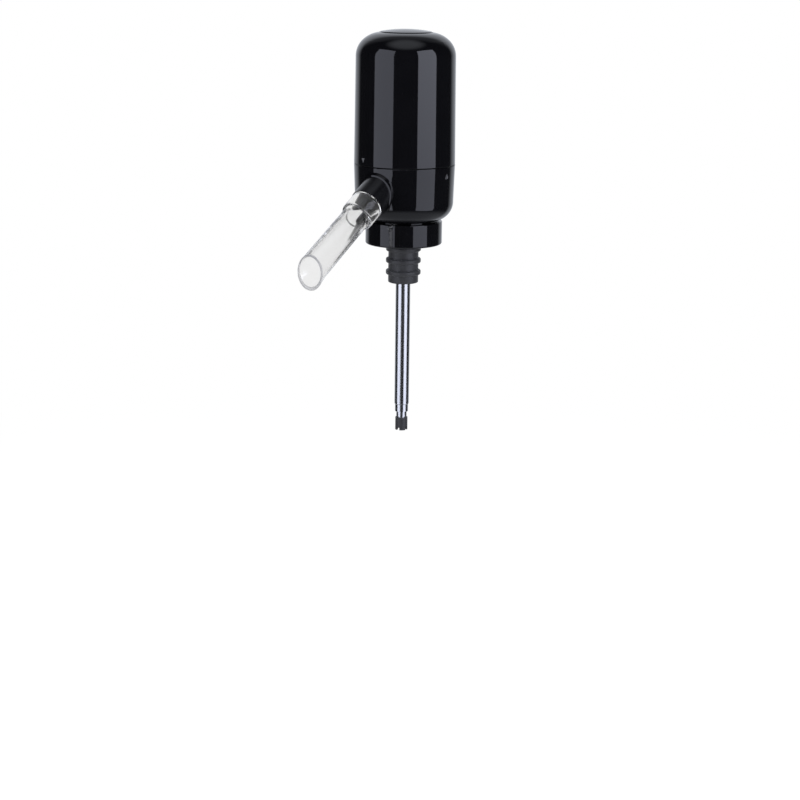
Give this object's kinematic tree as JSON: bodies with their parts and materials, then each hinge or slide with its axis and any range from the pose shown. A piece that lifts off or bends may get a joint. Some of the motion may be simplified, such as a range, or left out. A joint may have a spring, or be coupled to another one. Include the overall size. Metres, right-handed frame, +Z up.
{
  "type": "electric wine aerator",
  "caption": "Battery wine aerator for a bottle neck: round gloss-black case with a push button on top, clear angled spout, ribbed stopper and telescopic pick-up tube.",
  "frame": {"origin": "on the body axis, at the lower edge of the neck collar, inside the length of the stopper", "axes": "+Z up the body axis to the button, spout towards -Y"},
  "size_m": [0.0544, 0.1123, 0.219],
  "materials": {
    "case_black": "high-gloss moulded black",
    "button_black": "gloss black, slightly duller than the case",
    "socket_black": "satin moulded black",
    "clear_plastic": "clear polished",
    "inner_plastic": "plain moulded",
    "white_plastic": "plain moulded",
    "board": "solder mask",
    "steel": "drawn, satin",
    "cell_wrap": "plain wrap",
    "contact_brass": "plated",
    "lead_red": "insulated wire",
    "seal_rubber": "matt",
    "hose_silicone": "milky",
    "stopper_silicone": "matt silicone"
  },
  "bodies": {
    "case": {"lower_shell": "case_black", "neck_collar": "case_black", "spout_socket": "socket_black", "chassis": "inner_plastic", "battery_cradle": "inner_plastic", "contact_cap": "inner_plastic", "switch_body": "inner_plastic", "motor_end_cap": "inner_plastic", "pump_frame": "white_plastic", "pump_rocker": "white_plastic", "valve_plate": "white_plastic", "pump_head": "white_plastic", "check_valve": "white_plastic", "wine_manifold": "white_plastic", "switch_board": "board", "battery_springs": "steel", "cap_screws": "steel", "motor_can": "steel", "pump_screws": "steel", "case_screws": "steel", "tube_upper": "steel", "battery_cells": "cell_wrap", "contact_plates": "contact_brass", "motor_leads": "lead_red", "cover_seal": "seal_rubber", "motor_damper": "seal_rubber", "pump_diaphragm": "seal_rubber", "valve_flaps": "seal_rubber", "socket_o_ring": "seal_rubber", "tube_seal": "seal_rubber", "air_hose_upper": "hose_silicone", "air_hose_lower": "hose_silicone", "manifold_seal": "stopper_silicone", "lip_gasket": "stopper_silicone", "neck_stopper": "stopper_silicone"},
    "cover": {"upper_shell": "case_black", "button_retainer": "inner_plastic", "retainer_screws": "steel", "button_spring": "steel"},
    "button": {"button_cap": "button_black"},
    "plunger": {"switch_plunger": "white_plastic"},
    "rotor": {"motor_shaft": "steel", "eccentric": "white_plastic", "drive_pin": "steel"},
    "spout": {"spout_tube": "clear_plastic", "spout_o_ring": "seal_rubber", "aerator_insert": "socket_black"},
    "middle_tube": {"tube_middle": "steel", "middle_bush": "white_plastic"},
    "lower_tube": {"tube_lower": "steel", "lower_bush": "white_plastic", "tube_foot": "stopper_silicone"}
  },
  "joints": [
    {"name": "cover_twist", "type": "hinge", "parent": "case", "child": "cover", "pos_m": [0, 0, 0.0433], "axis": [0, 0, 1], "range_deg": [0, 34]},
    {"name": "button_press", "type": "slide", "parent": "cover", "child": "button", "axis": [0, 0, -1], "range_m": [0, 0.0016], "stiffness_N_per_m": 900, "springref_m": -0.0015, "deforming": ["button_spring"]},
    {"name": "plunger_press", "type": "slide", "parent": "case", "child": "plunger", "axis": [0, 0, -1], "range_m": [0, 0.0016]},
    {"name": "motor_spin", "type": "hinge", "parent": "case", "child": "rotor", "pos_m": [0, 0, 0.065], "axis": [0, 0, 1], "continuous": true},
    {"name": "spout_pull", "type": "slide", "parent": "case", "child": "spout", "axis": [0, -0.866, -0.5], "range_m": [0, 0.016]},
    {"name": "middle_tube_slide", "type": "slide", "parent": "case", "child": "middle_tube", "axis": [0, 0, -1], "range_m": [0, 0.082]},
    {"name": "lower_tube_slide", "type": "slide", "parent": "middle_tube", "child": "lower_tube", "axis": [0, 0, -1], "range_m": [0, 0.083]}
  ],
  "couplings": [
    {"joint": "plunger_press", "follows": "button_press", "ratio": 1}
  ]
}
